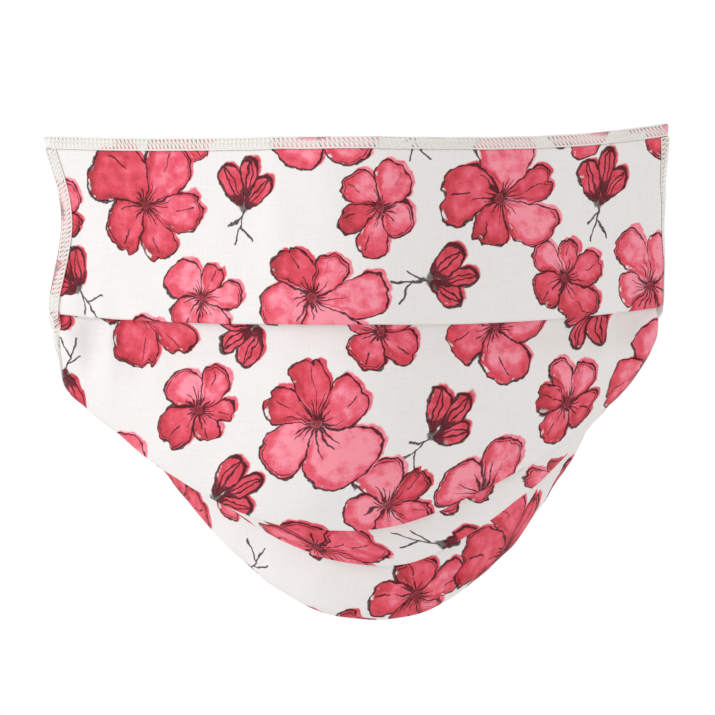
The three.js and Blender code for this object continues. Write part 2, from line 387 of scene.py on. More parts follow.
# %% The form, sampled once
def facing_in(points):
    """The step across, and the direction to the face, at each point of a grid."""
    across = np.gradient(points, axis=0)
    inward = np.cross(across, np.gradient(points, axis=1))
    return across, inward / np.linalg.norm(inward, axis=2, keepdims=True)


class FaceForm:
    """Answers where the cloth is: u across from -1 to 1, s mm down, depth mm behind."""

    COLUMNS = 401
    LEVELS = 301
    STEPS = 40                       # of a column's curve, between two rows

    def __init__(self):
        self.u = np.linspace(-1, 1, self.COLUMNS)
        fine = smooth_curve(row_points(self.u), self.STEPS)
        run = np.linalg.norm(np.diff(fine, axis=1), axis=2)
        place = np.concatenate([np.zeros((self.COLUMNS, 1)), np.cumsum(run, 1)], 1)
        self.lengths = place[:, -1]
        self.row_places = place[:, ::self.STEPS]
        share = np.linspace(0, 1, self.LEVELS)
        self.points = np.stack([
            np.stack([np.interp(share * total[-1], total, column[:, k]) for k in range(3)], -1)
            for total, column in zip(place, fine)
        ])
        across, inward = facing_in(self.points)
        stretch = np.linalg.norm(across, axis=2)
        x = np.cumsum(stretch, 0) - 0.5 * stretch
        self.x = x - x[self.COLUMNS // 2]
        s = share[None, :] * self.lengths[:, None]
        proud = relief(self.x, s, self.lengths[:, None])
        self.points = self.points - inward * proud[..., None]
        self.inward = facing_in(self.points)[1]

    def length(self, u):
        return np.interp(u, self.u, self.lengths)

    def row_place(self, name, u):
        return np.interp(u, self.u, self.row_places[:, ROW_NAMES.index(name)])

    def read(self, table, u, s):
        """A table of the form's grid, read between its points."""
        column = np.clip((u + 1) / 2 * (self.COLUMNS - 1), 0, self.COLUMNS - 1.001)
        level = np.clip(s / self.length(u) * (self.LEVELS - 1), 0, self.LEVELS - 1.001)
        column, level = np.broadcast_arrays(column, level)
        i, j = column.astype(int), level.astype(int)
        a, b = column - i, level - j
        if table.ndim == 3:
            a, b = a[..., None], b[..., None]
        top = table[i, j] * (1 - a) + table[i + 1, j] * a
        low = table[i, j + 1] * (1 - a) + table[i + 1, j + 1] * a
        return top * (1 - b) + low * b

    def at(self, u, s, depth):
        inward = self.read(self.inward, u, s)
        inward = inward / np.linalg.norm(inward, axis=-1, keepdims=True)
        return self.read(self.points, u, s) + inward * np.asarray(depth)[..., None]

    def across(self, u, s):
        """How many mm of cloth lie between the middle and u."""
        return self.read(self.x, u, s)


form = FaceForm()
widths = form.x[-1] - form.x[0]
print("columns of", form.lengths.min().round(1), "to", form.lengths.max().round(1), "mm")
print("rows of", widths.min().round(1), "to", widths.max().round(1), "mm")


# %% [markdown]
# ## The pleated sheet
# A knife pleat is three layers: the panel that is seen, the same cloth running back up
# behind its fold, and the next panel coming down again. In each column the sheet's middle
# line is drawn once, as steps down the form and steps behind it, with round bends at the
# folds. Moving it half a wall either way gives the two faces, and the columns side by side
# make a closed solid. A Solidify modifier could give the wall, but it would cut through
# itself in bends as tight as these.

# %% Closed solids from two lines
def ease(t):
    t = np.clip(t, 0, 1)
    return t * t * (3 - 2 * t)


def spread(start, end, steps):
    """steps + 1 even values from start to end, in a new last axis."""
    t = np.linspace(0, 1, steps + 1)
    return np.asarray(start)[..., None] * (1 - t) + np.asarray(end)[..., None] * t


def loft(name, front_face, back_face):
    """A closed mesh between two faces. A face is its points, [section, point], and where
    they lie on the flat cloth, which becomes the attribute that the materials read."""
    front, cloth_front = front_face
    back, cloth_back = back_face
    sections, count = front.shape[:2]
    places = np.concatenate([front, back], 1).reshape(-1, 3)
    j, k = np.meshgrid(np.arange(sections - 1), np.arange(count - 1), indexing="ij")
    corner = (j * 2 * count + k).ravel()
    step = 2 * count
    near = np.stack([corner, corner + 1, corner + step + 1, corner + step], 1)
    far = near[:, ::-1] + count
    start = np.arange(sections - 1) * step
    head = np.stack([start, start + step, start + step + count, start + count], 1)
    foot = head[:, ::-1] + count - 1
    side = np.arange(count - 1)
    left = np.stack([side, side + count, side + count + 1, side + 1], 1)
    right = left[:, ::-1] + (sections - 1) * step
    faces = np.concatenate([near, far, head, foot, left, right])
    mesh = bpy.data.meshes.new(name)
    mesh.from_pydata((places * MM).tolist(), [], faces.tolist())
    cloth = mesh.attributes.new("cloth", "FLOAT_VECTOR", "POINT")
    values = np.concatenate([cloth_front, cloth_back], 1).reshape(-1, 3)
    cloth.data.foreach_set("vector", values.astype(np.float32).ravel())
    curved = 2 * len(near)           # the faces after these close the rims and ends, and are flat
    mesh.polygons.foreach_set("use_smooth", [k < curved for k in range(len(faces))])
    mesh.update()
    print(name, len(faces), "faces")
    return put(name, mesh)


def on_cloth(u, s, v, face):
    """The cloth attribute: mm across, mm down the flat cloth, and 0 front or 1 back."""
    u, s, v = np.broadcast_arrays(u, s, v)
    return np.stack([form.across(u, s), v, np.full(u.shape, float(face))], -1)


def two_faces(u, s, near, far, down):
    """The front and back faces of a band of cloth, at two depths."""
    return [(form.at(u, s, d), on_cloth(u, s, down, k)) for k, d in enumerate((near, far))]


# %% The sheet's line
CLOTH_WALL = 0.55
LAYER_PITCH = 0.7                # from one layer of a pleat to the next
TUCK = 1.2                       # how far the sheet runs on inside its hems
PANEL_STEPS = (26, 26, 12, 14)
BEND_STEPS = 7
HOLLOWS = (2.5, 0.25, 0.3)        # how far a panel dips in just below its fold
HOLLOW_REACH = 4.5
PINNED = (0.84, 0.95)            # from here to there a panel is pinned by the side hem
PINNED_REACH = 7.0               # the height over which a pinned panel comes forward
PANEL_REACH = 0.9                # elsewhere it needs this share of its height
RUN_STEPS = 6                    # of a hidden layer


def pleat_depth(middle, side, u):
    return middle + (side - middle) * u * u


def lean(number, u, s):
    """How deep the panel under a fold lies; further down it comes forward to the form."""
    fold = form.row_place(PLEATS[number][0], u)
    last = number + 1 == len(PLEATS)
    panel_end = form.length(u) if last else form.row_place(PLEATS[number + 1][0], u)
    pinned = ease((np.abs(u) - PINNED[0]) / (PINNED[1] - PINNED[0]))
    reach = PANEL_REACH * (panel_end - fold) * (1 - pinned) + PINNED_REACH * pinned
    below = np.maximum(s - fold, 0)
    hollow = below / HOLLOW_REACH
    dip = HOLLOWS[number] * (1 - pinned) * hollow * np.exp(1 - hollow)
    return (2 * LAYER_PITCH + dip) * (1 - ease(below / reach))


def cover(number, u, s):
    """How deep the panel in front of a pleat lies; its hidden layers stay behind that."""
    return lean(number - 1, u, s) if number else 0 * s


def sheet_line(u):
    """The middle line of the sheet in the columns u: steps down, depth, and flat length."""
    top = np.full(u.shape, HEM_WIDTH - TUCK)
    end = form.length(u) - HEM_WIDTH + TUCK
    folds = [form.row_place(name, u) for name, _, _ in PLEATS]
    turns = np.linspace(0, math.pi, BEND_STEPS + 2)[1:-1]
    down = [spread(top, folds[0], PANEL_STEPS[0])]
    depth = [np.zeros_like(down[0])]
    radius = LAYER_PITCH / 2

    def bend(s, at_depth, side):
        down.append(s[:, None] + side * radius * np.sin(turns))
        depth.append(at_depth[:, None] + radius * (1 - np.cos(turns)))

    for number, (name, middle, side) in enumerate(PLEATS):
        fold = folds[number]
        inner = fold - pleat_depth(middle, side, u)
        panel_end = folds[number + 1] if number + 1 < len(PLEATS) else end
        bend(fold, 0 * fold, 1)
        run = spread(fold, inner, RUN_STEPS)
        down.append(run)
        depth.append(cover(number, u[:, None], run) + LAYER_PITCH)
        bend(inner, cover(number, u, inner) + LAYER_PITCH, -1)
        run = spread(inner, fold, RUN_STEPS)
        down.append(run)
        depth.append(cover(number, u[:, None], run) + 2 * LAYER_PITCH)
        panel = spread(fold, panel_end, PANEL_STEPS[number + 1])[:, 1:]
        down.append(panel)
        depth.append(lean(number, u[:, None], panel))
    down, depth = np.concatenate(down, 1), np.concatenate(depth, 1)
    flat = np.cumsum(np.hypot(np.diff(down), np.diff(depth)), 1)
    return down, depth, np.concatenate([top[:, None], top[:, None] + flat], 1)


def beside(down, depth, distance):
    """The line moved sideways by a distance: forward of the cloth is positive."""
    d_down, d_depth = np.gradient(down, axis=1), np.gradient(depth, axis=1)
    size = np.hypot(d_down, d_depth)
    return down + distance * d_depth / size, depth - distance * d_down / size


# %% The sheet
SHEET_COLUMNS = 250
side_share = HEM_WIDTH / HALF_WIDTH
sheet_end = 1 - side_share + TUCK / HALF_WIDTH
u = np.linspace(-sheet_end, sheet_end, SHEET_COLUMNS)
down, depth, flat_down = sheet_line(u)
faces = []
for distance, face in ((CLOTH_WALL / 2, 0), (-CLOTH_WALL / 2, 1)):
    s, behind = beside(down, depth, distance)
    faces.append((form.at(u[:, None], s, behind), on_cloth(u[:, None], down, flat_down, face)))
pleated_cloth = loft("printed_sheet", *faces)
flat_height = float(flat_down[:, -1].max())
print("flat cloth", round(flat_height, 1), "mm high in its longest column")


# %% [markdown]
# ## Hems
# Each edge is turned and overlocked, which makes a narrow band a little thicker than the
# cloth, with soft round borders. The side hems also hold the stacked pleats, so they
# swell towards the bottom. The same loft makes them, from a rounded bar's outline.

# %% Hem bands
HEM_PROUD = 0.45                 # how far a hem stands in front of the cloth's middle
HEM_BACK = 0.75
SIDE_BACK = 1.1                  # a side hem's back, where it holds one layer
SIDE_BACK_SWELL = 1.95
SIDE_FRONT_SWELL = 0.25
SIDE_STEP = 0.8                  # how far a side hem follows the panel behind a fold
STEP_LENGTH = 2.5
SWELL_RAMP = 4.0                 # the length over which a side hem swells and thins again
HEM_END = 2.2                    # the length over which a side hem's ends thin out
HEM_CORNER = 1.5                 # the radius of the mask's four corners
ROUND_STEPS = 7


def bar_lines(start, end, near, far):
    """The front and back lines of a rounded bar, as steps along and depths, in new axes."""
    start, end, near, far = (np.asarray(x, float)[..., None] for x in (start, end, near, far))
    middle, half = (near + far) / 2, (far - near) / 2
    round_off = np.minimum(half, 0.35 * (end - start))
    turn = np.linspace(0, math.pi / 2, ROUND_STEPS)
    inner = np.linspace(0, 1, 5)[1:-1]
    left = start + round_off * (1 - np.sin(turn))
    right = end - round_off * (1 - np.sin(turn[::-1]))
    flat = start + round_off + (end - start - 2 * round_off) * inner
    along = np.concatenate([left, flat, right], -1)
    lift = np.concatenate([np.cos(turn), np.zeros(3), np.cos(turn[::-1])])
    lift = np.sqrt(1 - lift**2)
    return along, middle - half * lift, middle + half * lift


def front_flat(u, s):
    """How far down the flat cloth the outermost layer at s is."""
    total = np.array(s, float)
    for name, middle, side in PLEATS:
        fold = form.row_place(name, u)
        total = total + 2 * pleat_depth(middle, side, u) * (s > fold)
    return total


def swell(u, s):
    """How thick a side hem is at s, from 0 where it holds one layer to 1 round a pleat."""
    grown = np.zeros(np.broadcast(u, s).shape)
    for name, _, side in PLEATS:
        below = s - form.row_place(name, u)
        grow, shrink = ease((below + side) / SWELL_RAMP + 1), ease((below - 1) / SWELL_RAMP)
        grown = np.maximum(grown, grow * (1 - shrink))
    return grown


def side_front(u, s):
    """How deep a side hem's front face lies: it steps back where a fold ends."""
    found = -HEM_PROUD - SIDE_FRONT_SWELL * swell(u, s)
    for number, (name, _, _) in enumerate(PLEATS):
        past = ease((s - form.row_place(name, u)) / STEP_LENGTH)
        found = found + SIDE_STEP * past * lean(number, u, s)
    return found


def side_back(u, s):
    """How deep a side hem's back face lies: it holds the stacked layers of each pleat."""
    return SIDE_BACK + SIDE_BACK_SWELL * swell(u, s)


def side_faces(side, share):
    """How deep a side hem's two faces lie at shares of its run, from 0 at its top."""
    edge = np.full(share.shape, float(side))
    at = HEM_WIDTH + share * (form.length(edge) - 2 * HEM_WIDTH)
    return side_front(edge, at), side_back(edge, at)


def thin_end(rounding):
    """How thick a hem is where it ends, from 0.3 at its very end to 1."""
    return 0.3 + 0.7 * np.sqrt(1 - (1 - np.clip(rounding, 0, 1)) ** 2)


def edge_hem(name, at_top):
    share = np.linspace(-1, 1, 301)
    u = share * (1.25 - 0.25 * share**2)
    over = np.clip((np.abs(u) - 1) * HALF_WIDTH + HEM_CORNER, 0, None)
    cut = HEM_CORNER - np.sqrt(np.clip(HEM_CORNER**2 - over**2, 0, None))
    start = cut if at_top else form.length(u) - HEM_WIDTH
    end = HEM_WIDTH + 0 * u if at_top else form.length(u) - cut
    full = thin_end((1 - np.abs(u)) * HALF_WIDTH / HEM_CORNER)
    s, near, far = bar_lines(start, end, -HEM_PROUD * full, HEM_BACK * full)
    columns = u[:, None]
    down = s if at_top else s - form.length(columns) + flat_height
    return loft(name, *two_faces(columns, s, near, far, down))


def side_hem(name, side):
    steps = 240
    edge = form.length(np.array([float(side)]))[0]
    share = np.linspace(0, 1, steps + 1)
    span = edge - 2 * HEM_WIDTH
    full = thin_end(np.minimum(share, 1 - share) * span / HEM_END)
    front, back = side_faces(side, share)
    inner_border = np.full(share.shape, 1 - side_share)
    w, near, far = bar_lines(inner_border, np.ones(share.shape), front * full, back * full)
    u = side * w
    bottom = form.length(u) - HEM_WIDTH
    s = HEM_WIDTH + share[:, None] * (bottom - HEM_WIDTH)
    faces = two_faces(u, s, near, far, front_flat(u, s))
    if side > 0:
        faces.reverse()
    return loft(name, *faces)


top_hem = edge_hem("top_hem_band", True)
bottom_hem = edge_hem("bottom_hem_band", False)
left_hem = side_hem("left_hem_band", -1)
right_hem = side_hem("right_hem_band", 1)
hems = [top_hem, bottom_hem, left_hem, right_hem]


# %% [markdown]
# ## Ear loops
# Behind each side hem a flat knitted elastic is sewn on near the top and the bottom
# corner. It runs back round the ear, and turns over on the way so that it lies flat on
# the hem and flat behind the ear. The route is a smooth curve, and a ribbed outline is
# carried along it.

# %% Elastic bands
ELASTIC_WIDTH = 5.0
ELASTIC_THICKNESS = 1.0
ELASTIC_RIBS = 5
RIB_DEPTH = 0.14                 # as a share of the thickness
ELASTIC_SEAT = 0.12              # the thread between a hem and the elastic on it
TOP_SEWN = 9.0
BOTTOM_SEWN = 8.0
SEWN_AT, SEWN_END = 0.98, 0.9    # where across the mask the band turns, and where it ends
EAR_X = 66
EAR_POINTS = ((92, -22), (113, -41), (94, -59))
# steps away from the hem at the top, and towards it at the bottom: outwards, back, up
LEAVING = ((0.6, 5, 0), (-3.5, 22, -3))
ARRIVING = ((5, 22, 9.5), (1.2, 4.4, 3.8))


def seat_depth(side, s):
    """How deep the middle of the elastic lies where it is sewn to a side hem."""
    under = np.linspace(s - ELASTIC_WIDTH / 2, s + ELASTIC_WIDTH / 2, 9)
    furthest = side_back(np.full(under.shape, float(side)), under).max()
    return furthest + ELASTIC_SEAT + ELASTIC_THICKNESS / 2


def hem_place(side, s, w):
    """A point on the inner face of a side hem, where the elastic is sewn."""
    return form.at(np.array([side * w]), np.array([float(s)]), seat_depth(side, s))[0]


def loop_route(side):
    """Points along the band, and which way its width lies at the two ends."""
    length = form.length(np.array([float(side)]))[0]
    low = length - BOTTOM_SEWN
    top, bottom = hem_place(side, TOP_SEWN, SEWN_AT), hem_place(side, low, SEWN_AT)

    def away(point, steps):
        return [point + np.array([side * x, y, z]) for x, y, z in steps]

    def width_at(s, half):
        return hem_place(side, s - half, SEWN_AT) - hem_place(side, s + half, SEWN_AT)

    ear = [np.array([side * EAR_X, y, z]) for y, z in EAR_POINTS]
    points = [
        hem_place(side, TOP_SEWN, SEWN_END), top, *away(top, LEAVING), *ear,
        *away(bottom, ARRIVING), bottom, hem_place(side, low, SEWN_END),
    ]
    return np.array(points), width_at(TOP_SEWN, 2), width_at(low, -2)


def unit(v):
    return v / np.linalg.norm(v, axis=-1, keepdims=True)


def ear_loop(name, side):
    points, top_width, low_width = loop_route(side)
    share = np.linspace(0, 1, 321)
    route = resample(smooth_curve(points, 60), share)
    length = np.linalg.norm(np.diff(route, axis=0), axis=1).sum()
    along = unit(np.gradient(route, axis=0))
    turned = ease((np.sin(math.pi * share) - 0.35) / 0.6)[:, None]
    ends = np.where(share[:, None] < 0.5, unit(top_width), unit(low_width))
    wide = ends * (1 - turned) + np.array([side, 0, 0]) * turned
    wide = unit(wide - along * (wide * along).sum(1, keepdims=True))
    thick = np.cross(along, wide)
    over = np.linspace(-1, 1, 8 * ELASTIC_RIBS + 1)
    edge = np.sqrt(np.clip(1 - np.abs(over) ** 8, 0, 1))
    phase = over * math.pi * ELASTIC_RIBS / 2 + math.pi / 2 * (ELASTIC_RIBS % 2 + 1)
    ribs = 1 - RIB_DEPTH + RIB_DEPTH * np.abs(np.cos(phase))
    half = edge * ribs * ELASTIC_THICKNESS / 2
    spot = route[:, None, :] + wide[:, None, :] * (over * ELASTIC_WIDTH / 2)[None, :, None]
    lift = thick[:, None, :] * half[None, :, None]
    run = np.broadcast_to((share * length)[:, None], (len(share), len(over)))
    width = np.broadcast_to((over * ELASTIC_WIDTH / 2)[None, :], run.shape)
    cloth = [np.stack([width, run, np.full(run.shape, float(k))], -1) for k in (0, 1)]
    print(name, "is", round(length, 1), "mm long")
    return loft(name, (spot - lift, cloth[0]), (spot + lift, cloth[1]))


left_loop = ear_loop("left_elastic", -1)
right_loop = ear_loop("right_elastic", 1)


# %% [markdown]
# ## The print
# The cotton carries a loose watercolour print: blossoms in reds and pinks with a dark ink
# outline, the colour slipped a little up and to the right of the ink. It is drawn from
# sums on the flat cloth, so the pleats cut through it as they do in sewn cloth. The print
# is a half-drop repeat with three guests in each cell: a large blossom, a small one, and
# a sprig of buds. Chance numbers that belong to the cell turn, size and shift each one.

# %% The repeat
CELL_WIDTH = 55.0
CELL_HEIGHT = 49.0
# kind, place across and down from the large blossom, petal length, and play, all in mm
GUESTS = (
    ("sprig", -22.0, 24.5, 0.0, 9.0),
    ("small", 22.0, 24.5, 12.8, 9.0),
    ("large", 0.0, 0.0, 18.6, 5.0),
)


def cells(x, y, shift_x, shift_y):
    """The cell that a point of the cloth lies in, and its place from the cell's middle."""
    column_at = (x + shift_x) / CELL_WIDTH
    column = column_at.math("FLOOR")
    drop = column.math("FLOORED_MODULO", 2.0) * (CELL_HEIGHT / 2)
    row_at = (y + drop + shift_y) / CELL_HEIGHT
    row = row_at.math("FLOOR")
    cell = point(x, column, row, shift_x)
    return cell, (column_at - column - 0.5) * CELL_WIDTH, (row_at - row - 0.5) * CELL_HEIGHT


# %% A blossom
INK_HALF = 0.29
SLIP = (1.05, -0.75)             # the colour's slip from the ink, to the right and up
PETALS = 5
START = (40.0, 30.0)             # where the repeat begins on the cut cloth


def turned(x, y, angle):
    """A point in axes that are turned by an angle, a number or a wire."""
    if isinstance(angle, Wire):
        c, s = angle.math("COSINE"), angle.math("SINE")
    else:
        c, s = math.cos(angle), math.sin(angle)
    return x * c + y * s, y * c - x * s


def petals(x, y, cell, radius, turn, tilt):
    """How far a point lies outside a five-petalled outline, and its place in the petal."""
    x, y = turned(x, y, turn)
    y = y * tilt
    reach = (x * x + y * y).math("SQRT")
    around = y.math("ARCTAN2", x)
    angle = around + (around + turn * 3).math("SINE") * 0.30 + reach * 0.017
    at = angle * (PETALS / TURN)
    petal = (at + 0.5).math("FLOOR")
    across = at - petal
    own = random_numbers(cell, petal.math("FLOORED_MODULO", float(PETALS)))
    side = across * across * 4
    notch = abs(across + (own[1] - 0.5) * 0.5).fade(0.10, 0.0) * (own[2] * 0.10)
    shape = 1 - side * (side * 0.40 + 0.04) - notch
    rim = radius * (own[0] * 0.34 + 0.80) * shape
    slope = across * (side * 0.8 + 0.04) * (8 * PETALS / TURN) / shape
    outside = (reach - rim) / (slope * slope + 1).math("SQRT")
    return {
        "outside": outside, "reach": reach, "across": across, "own": own,
        "angle": angle, "share": reach / rim,
    }


def line(distance, half):
    """Ink within half a stroke's width of a line; distance may be negative."""
    return (abs(distance) - half).fade(0.09, -0.09)


def rays(flower, cell, radius, count, half):
    """Tapered ink strokes that leave the heart of a blossom."""
    at = flower["angle"] * (count / TURN)
    ray = (at + 0.5).math("FLOOR")
    own = random_numbers(cell, ray.math("FLOORED_MODULO", float(count)) + 11)
    aside = flower["reach"] * ((at - ray) + (own[1] - 0.5) * 0.5) * (TURN / count)
    share = flower["reach"] / (radius * (own[0] * 0.34 + 0.20))
    stroke = line(aside, half * (1.25 - share * 0.85))
    return stroke * flower["reach"].fade(0.7, 1.5) * share.fade(1.05, 0.95)


def blossom(x, y, cell, radius, turn, tilt, pressure):
    """The colour mask, the ink mask, the tone and the inside of one blossom."""
    drawn = petals(x, y, cell, radius, turn, tilt)
    half = pressure * INK_HALF
    inside = drawn["outside"].fade(0.1, -0.1)
    ink = line(drawn["outside"], half)
    second = line(drawn["outside"] + 0.85, half * 0.5) * drawn["own"][1].fade(0.42, 0.47)
    ink = ink.math("MAXIMUM", second * abs(drawn["across"]).fade(0.42, 0.30))
    border = drawn["reach"] * (0.5 - abs(drawn["across"])) * (TURN / PETALS)
    ink = ink.math("MAXIMUM", line(border, half * 0.9) * inside * drawn["reach"].fade(1.5, 2.4))
    vein = drawn["reach"] * (drawn["across"] + (drawn["own"][1] - 0.5) * 0.3)
    vein = line(vein, 0.16) * drawn["share"].fade(0.56, 0.60) * drawn["share"].fade(0.92, 0.86)
    ink = ink.math("MAXIMUM", vein * drawn["own"][2].fade(0.3, 0.35))
    ink = ink.math("MAXIMUM", rays(drawn, cell, radius, 21, half * 0.9) * inside)
    ink = ink.math("MAXIMUM", drawn["reach"].fade(1.5, 0.8) * 0.75)
    washed = petals(x - SLIP[0], y - SLIP[1], cell, radius, turn, tilt)
    wash = washed["outside"].fade(0.42, -0.22)
    depth = washed["own"][2] * 0.60 + washed["outside"].fade(-4.0, 0.0) * 0.38 - 0.05
    depth = depth + washed["reach"].fade(radius * 0.40, 0.0) * 0.24
    return wash, ink, depth - drawn["outside"].fade(0.1, 0.5) * 0.36, inside


# %% A sprig of buds
# place of the bud's middle, half length, half breadth, turn in degrees
BUDS = ((-3.9, -5.3, 6.0, 3.3, 62), (4.1, -3.9, 5.6, 2.9, 128), (1.0, -8.4, 5.8, 2.5, 92))
TWIGS = ((0.2, 1.0, -1.2, 11.0), (-0.6, 5.4, 4.6, 9.6), (-0.2, 3.0, -3.4, 6.4))


def bud(x, y, shape):
    """How far a point lies outside a bud, its place along the bud, and the ink on it."""
    x0, y0, long, broad, degrees = shape
    along, aside = turned(x - x0, y - y0, math.radians(degrees))
    narrow = 1 - along * (0.36 / long)
    a, b = along / long, aside / (narrow * broad)
    outside = ((a * a + b * b).math("SQRT") - 1) * broad
    inner = outside.fade(0.0, -0.3)
    ink = line(outside, INK_HALF)
    for bend, shift in ((0.9, -0.75), (-0.7, 0.8)):
        seam = aside + a * a * bend + shift
        ink = ink.math("MAXIMUM", line(seam, 0.24) * inner)
    calyx = (a + b * b * 0.4).fade(0.42, 0.62) * inner
    return outside, ink.math("MAXIMUM", calyx * 0.9)


def twig(x, y, ends):
    x0, y0, x1, y1 = ends
    length = math.hypot(x1 - x0, y1 - y0)
    along, aside = turned(x - x0, y - y0, math.atan2(y1 - y0, x1 - x0))
    off = along - along.math("MAXIMUM", 0.0).math("MINIMUM", length)
    return line((off * off + aside * aside).math("SQRT"), 0.30)


def sprig(x, y, turn):
    """The masks of three buds at the end of a forked twig."""
    drawn_x, drawn_y = turned(x, y, turn)
    slipped_x, slipped_y = turned(x - SLIP[0], y - SLIP[1], turn)
    wash, ink, inside = None, None, None
    for shape in BUDS:
        outside, lines = bud(drawn_x, drawn_y, shape)
        slipped = bud(slipped_x, slipped_y, shape)[0].fade(0.3, -0.15)
        hidden = outside.fade(0.05, -0.05)
        wash = slipped if wash is None else wash.math("MAXIMUM", slipped)
        ink = lines if ink is None else (ink * (1 - hidden)).math("MAXIMUM", lines)
        inside = hidden if inside is None else inside.math("MAXIMUM", hidden)
    heart = (drawn_x * drawn_x + drawn_y * drawn_y).math("SQRT")
    ink = ink.math("MAXIMUM", heart.fade(2.2, 1.4) * 0.9)
    for ends in TWIGS:
        ink = ink.math("MAXIMUM", twig(drawn_x, drawn_y, ends))
    return wash, ink, inside


# %% Printed cotton
COTTON_WHITE = rgb(241, 238, 236)
LINING_WHITE = rgb(238, 235, 230)
WASH_STOPS = (
    (0.0, rgb(253, 146, 165)), (0.28, rgb(240, 92, 116)), (0.56, rgb(222, 56, 80)),
    (0.82, rgb(194, 30, 52)), (1.0, rgb(150, 18, 36)),
)
INK = rgb(46, 14, 20)
THREAD_PITCH = 0.42              # from one thread of the weave to the next, in mm


def weave(x, y):
    """The height of a plain weave: warp and weft take turns to lie on top."""
    warp, weft = x * (math.pi / THREAD_PITCH), y * (math.pi / THREAD_PITCH)
    up, over = warp.math("SINE"), weft.math("SINE")
    warp_round, weft_round = warp.math("COSINE"), weft.math("COSINE")
    return up * over * 0.5 + (warp_round * warp_round + weft_round * weft_round) * 0.25


def slubs(x, y):
    """Faint streaks along the threads, where the yarn is thicker."""
    along = point(x, x * 0.12, y * 2.6, 0.0)
    upright = point(x, x * 2.6, y * 0.12, 4.0)
    return cloud(along, 1.0, 2.0) + cloud(upright, 1.0, 2.0) - 1


def print_colour(x, y, place, base):
    """The cotton's colour with the print on it, and how much ink and paint lies there."""
    wobble = parts_of(cloud(place, 0.22, 2.0, 1), "ShaderNodeSeparateColor", "Color")
    px, py = x + (wobble[0] - 0.5) * 3.2, y + (wobble[1] - 0.5) * 3.2
    blotches = cloud(place, 0.30, 4.0)
    grain = cloud(place, 1.9, 2.0)
    tone_shift = (blotches - 0.5) * 1.15 + (grain - 0.5) * 0.36
    colour, printed = base, None
    pressure = (cloud(place, 0.45, 1.0) - 0.5) * 1.8 + 1
    gaps = blotches.fade(0.66, 0.56)
    for kind, aside, below, size, play in GUESTS:
        cell, cx, cy = cells(px, py, START[0] - aside, START[1] - below)
        own = random_numbers(cell, 3.3)
        cx, cy = cx + (own[0] - 0.5) * play, cy + (own[1] - 0.5) * play
        turn = own[2] * TURN
        if kind == "sprig":
            wash, ink, inside = sprig(cx, cy, turn)
            depth = own[0] * 0.2 + 0.45
        else:
            radius = own[1] * (0.16 * size) + 0.92 * size
            tilt = own[0] * 0.24 + 1
            wash, ink, depth, inside = blossom(cx, cy, cell, radius, turn, tilt, pressure)
        tone = depth + tone_shift
        paint = wash.math("MAXIMUM", inside * gaps) * 0.96
        colour = paint.mix(colour, ramp(tone, WASH_STOPS))
        colour = (ink * ((grain - 0.5) * 0.5 + 0.9)).mix(colour, (*INK, 1))
        layer = paint.math("MAXIMUM", ink)
        printed = layer if printed is None else printed.math("MAXIMUM", layer)
    return colour, printed


def make_cotton(name, strength, ghost):
    """Cotton with the print so strong on its outer face, and a ghost of it on the inner."""
    material, shader, start = new_material(name, 0.05)
    x, y, face = parts_of(on_piece(start))
    place = point(start, x, y, 0.0)
    streaks = slubs(x, y)
    base = face.mix((*COTTON_WHITE, 1), (*LINING_WHITE, 1))
    printed_colour, printed = print_colour(x, y, place, base)
    show = strength - face * (strength - ghost)
    colour = show.mix(base, printed_colour)
    shade = streaks * 0.10 + 1
    grey = shade.node("ShaderNodeCombineColor", {}, {0: shade, 1: shade, 2: shade})
    multiply = {"data_type": "RGBA", "blend_type": "MULTIPLY"}
    colour = start.node("ShaderNodeMix", multiply, {0: 1.0, 6: colour, 7: grey}, 2)
    connect(colour, shader, "Base Color")
    connect(0.93 - printed * 0.10, shader, "Roughness")
    press(weave(x, y) * 0.5 + streaks * 0.5, shader, 0.35, 0.00012)
    return material


printed_cotton = make_cotton("printed cotton", 1.0, 0.13)
hem_cotton = make_cotton("hem cotton", 0.62, 0.10)
print("print of", len(printed_cotton.node_tree.nodes), "nodes")


# %% [markdown]
# ## Overlock thread
# An overlocker sews over a raw edge: a straight row of needle stitches a few millimetres
# in, and loops that slant from it to the edge and back. White thread vanishes on white
# cotton but shows as a slanted lattice wherever the print runs under it. One stitch is
# drawn once, and Geometry Nodes set it along a guide line at an even pitch, standing on
# the hem's own face.

# %% The stitch tree
def tree_inputs(tree, wanted):
    """Adds a tree's named inputs and returns their identifiers."""
    found = {}
    for name, kind, value in wanted:
        socket = tree.interface.new_socket(name=name, in_out="INPUT", socket_type=kind)
        if value is not None:
            socket.default_value = value
        found[name] = socket.identifier
    return found


